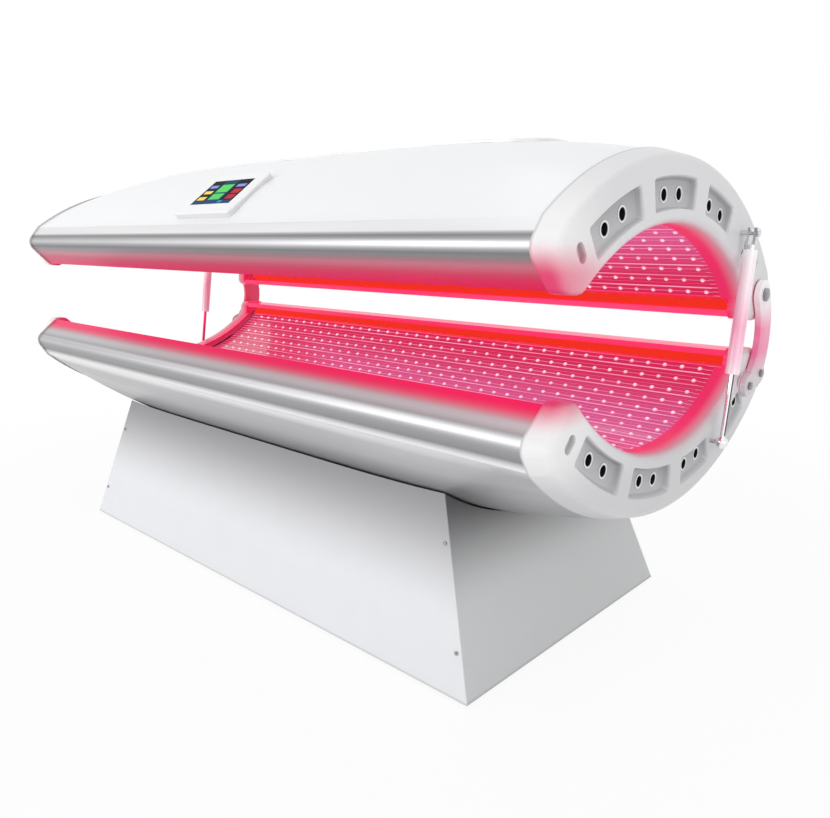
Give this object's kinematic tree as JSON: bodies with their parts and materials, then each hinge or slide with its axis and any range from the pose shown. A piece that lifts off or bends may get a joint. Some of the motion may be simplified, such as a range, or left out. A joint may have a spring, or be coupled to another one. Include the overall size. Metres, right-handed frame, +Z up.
{
  "type": "red light therapy bed",
  "caption": "Full-body red light therapy bed: a hinged canopy over a curved lamp-lined bed, held by gas struts at each end, on a tapered base, with a touch screen.",
  "frame": {"origin": "on the floor under the middle of the bed", "axes": "+X along the bed to its right-hand end as seen from the front, -Y to the front where the user gets in, +Z up"},
  "size_m": [1.967, 0.8911, 1.0486],
  "materials": {
    "white_shell": "gloss white moulding",
    "silver_profile": "satin anodised",
    "belly_silver": "satin silver paint",
    "base_silver": "satin silver-white paint",
    "frame_steel": "black paint",
    "frame_light": "mill finish",
    "foot_rubber": "matt",
    "clear_acrylic": "clear, lit pink from behind",
    "tray_metal": "reflective sheet lit red",
    "lamp_board": "lit lamp boards",
    "light_bar": "lit orange-red",
    "black_plastic": "matt black",
    "electronics": "plain cases",
    "arm_white": "gloss white paint",
    "fastener_steel": "plated",
    "strut_silver": "silver paint",
    "chrome_rod": "polished",
    "bush_bronze": "plain",
    "screen_glass": "dark glass",
    "rocker_red": "gloss red"
  },
  "bodies": {
    "bed": {"base_frame": "frame_steel", "base_feet": "foot_rubber", "power_supplies": "electronics", "control_box": "electronics", "mains_inlet": "black_plastic", "base_front_panel": "base_silver", "base_rear_panel": "base_silver", "base_left_panel": "base_silver", "base_right_panel": "base_silver", "base_panel_screws": "fastener_steel", "bed_belly_skin": "belly_silver", "hinge_arm_right": "arm_white", "hinge_arm_left": "arm_white", "hinge_arm_bolts": "fastener_steel", "hinge_pins": "fastener_steel", "lower_ball_studs": "fastener_steel", "bed_front_nose": "silver_profile", "bed_rear_rail": "silver_profile", "bed_end_cap_right": "white_shell", "bed_end_cap_left": "white_shell", "bed_vent_cups": "black_plastic", "bed_frame": "frame_light", "bed_fan_housings": "black_plastic", "bed_lamp_tray": "tray_metal", "bed_lamp_boards": "lamp_board", "bed_acrylic": "clear_acrylic", "bed_light_bar": "light_bar"},
    "canopy": {"canopy_cover": "white_shell", "canopy_top_panel": "white_shell", "screen_housing": "white_shell", "screen_glass": "screen_glass", "pivot_bushes": "bush_bronze", "upper_studs": "fastener_steel", "canopy_front_nose": "silver_profile", "canopy_rear_rail": "silver_profile", "canopy_end_cap_right": "white_shell", "canopy_end_cap_left": "white_shell", "canopy_vent_cups": "black_plastic", "canopy_frame": "frame_light", "canopy_fan_housings": "black_plastic", "canopy_lamp_tray": "tray_metal", "canopy_lamp_boards": "lamp_board", "canopy_acrylic": "clear_acrylic", "canopy_light_bar": "light_bar"},
    "bed_fan_right": {"bed_fan_rotor_right": "black_plastic"},
    "bed_fan_left": {"bed_fan_rotor_left": "black_plastic"},
    "canopy_fan_right": {"canopy_fan_rotor_right": "black_plastic"},
    "canopy_fan_left": {"canopy_fan_rotor_left": "black_plastic"},
    "strut_tube_right": {"strut_tube_right": "strut_silver", "strut_gland_right": "black_plastic", "strut_clevis_right": "chrome_rod"},
    "strut_rod_right": {"strut_rod_right": "chrome_rod"},
    "strut_tube_left": {"strut_tube_left": "strut_silver", "strut_gland_left": "black_plastic", "strut_clevis_left": "chrome_rod"},
    "strut_rod_left": {"strut_rod_left": "chrome_rod"},
    "rocker": {"power_rocker": "rocker_red"}
  },
  "joints": [
    {"name": "canopy_hinge", "type": "hinge", "parent": "bed", "child": "canopy", "pos_m": [0, 0.35902, 0.729], "axis": [-1, 0, 0], "range_deg": [-6.7, 25]},
    {"name": "strut_rod_right_pivot", "type": "hinge", "parent": "bed", "child": "strut_rod_right", "pos_m": [0.97, 0.16536, 0.44204], "axis": [-1, 0, 0], "range_deg": [-2, 7.2]},
    {"name": "strut_tube_right_pivot", "type": "hinge", "parent": "canopy", "child": "strut_tube_right", "pos_m": [0.97, 0.22786, 0.85727], "axis": [-1, 0, 0], "range_deg": [-18.3, 5]},
    {"name": "strut_rod_left_pivot", "type": "hinge", "parent": "bed", "child": "strut_rod_left", "pos_m": [-0.97, 0.16536, 0.44204], "axis": [-1, 0, 0], "range_deg": [-2, 7.2]},
    {"name": "strut_tube_left_pivot", "type": "hinge", "parent": "canopy", "child": "strut_tube_left", "pos_m": [-0.97, 0.22786, 0.85727], "axis": [-1, 0, 0], "range_deg": [-18.3, 5]},
    {"name": "bed_fan_right_spin", "type": "hinge", "parent": "bed", "child": "bed_fan_right", "pos_m": [0.4665, 0, 0.379], "axis": [1, 0, 0], "continuous": true},
    {"name": "bed_fan_left_spin", "type": "hinge", "parent": "bed", "child": "bed_fan_left", "pos_m": [-0.4665, 0, 0.379], "axis": [1, 0, 0], "continuous": true},
    {"name": "canopy_fan_right_spin", "type": "hinge", "parent": "canopy", "child": "canopy_fan_right", "pos_m": [0.4665, 0.02299, 0.94569], "axis": [1, 0, 0], "continuous": true},
    {"name": "canopy_fan_left_spin", "type": "hinge", "parent": "canopy", "child": "canopy_fan_left", "pos_m": [-0.4665, 0.02299, 0.94569], "axis": [1, 0, 0], "continuous": true},
    {"name": "power_rocker_tilt", "type": "hinge", "parent": "bed", "child": "rocker", "pos_m": [0.52, 0.35386, 0.08967], "axis": [1, 0, 0], "range_deg": [-7, 7]}
  ],
  "couplings": [
    {"joint": "strut_rod_right_pivot", "follows": "canopy_hinge", "ratio": 0.2775},
    {"joint": "strut_tube_right_pivot", "follows": "canopy_hinge", "ratio": -0.7225},
    {"joint": "strut_rod_left_pivot", "follows": "canopy_hinge", "ratio": 0.2775},
    {"joint": "strut_tube_left_pivot", "follows": "canopy_hinge", "ratio": -0.7225}
  ]
}
